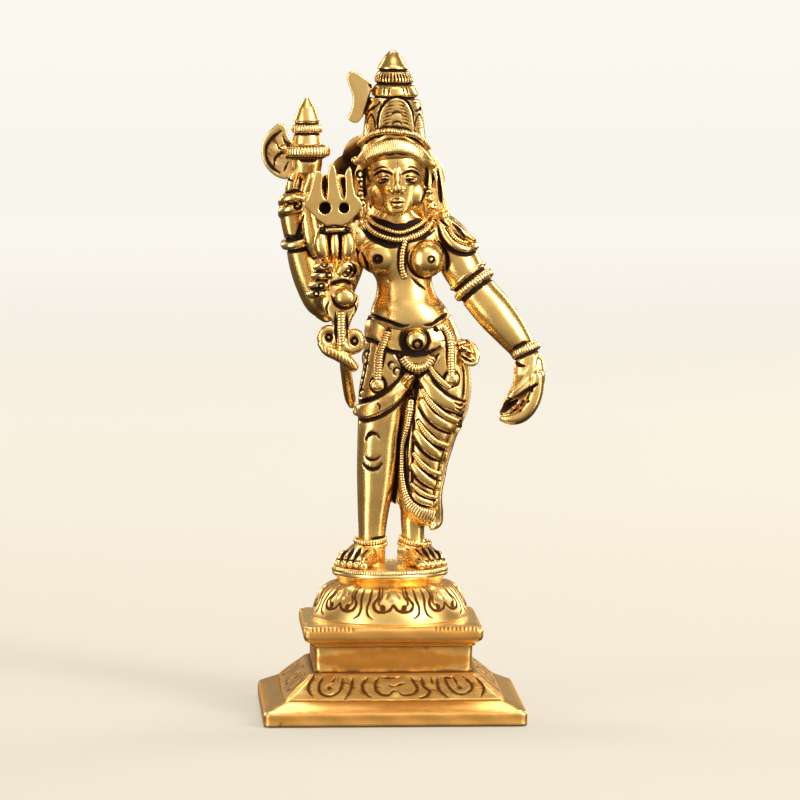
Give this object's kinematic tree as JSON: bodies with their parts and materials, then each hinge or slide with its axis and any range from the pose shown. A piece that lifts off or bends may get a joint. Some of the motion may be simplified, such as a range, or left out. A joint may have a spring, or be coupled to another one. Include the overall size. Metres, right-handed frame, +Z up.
{
  "type": "ardhanarishvara idol",
  "caption": "Cast brass standing figure, half bare and half skirted, with trident, axe and cobra, on a square and round lotus pedestal.",
  "frame": {"origin": "centre of the square pedestal's flat underside", "axes": "+Z up through the crown, the figure looks along -Y, its bare right side at -X and its skirted left side at +X"},
  "size_m": [0.0656, 0.06, 0.1525],
  "materials": {
    "brass": "satin cast brass, bright on the high points, with dark brown patina left in the recesses"
  },
  "bodies": {
    "root": {"idol": "brass"}
  },
  "joints": []
}
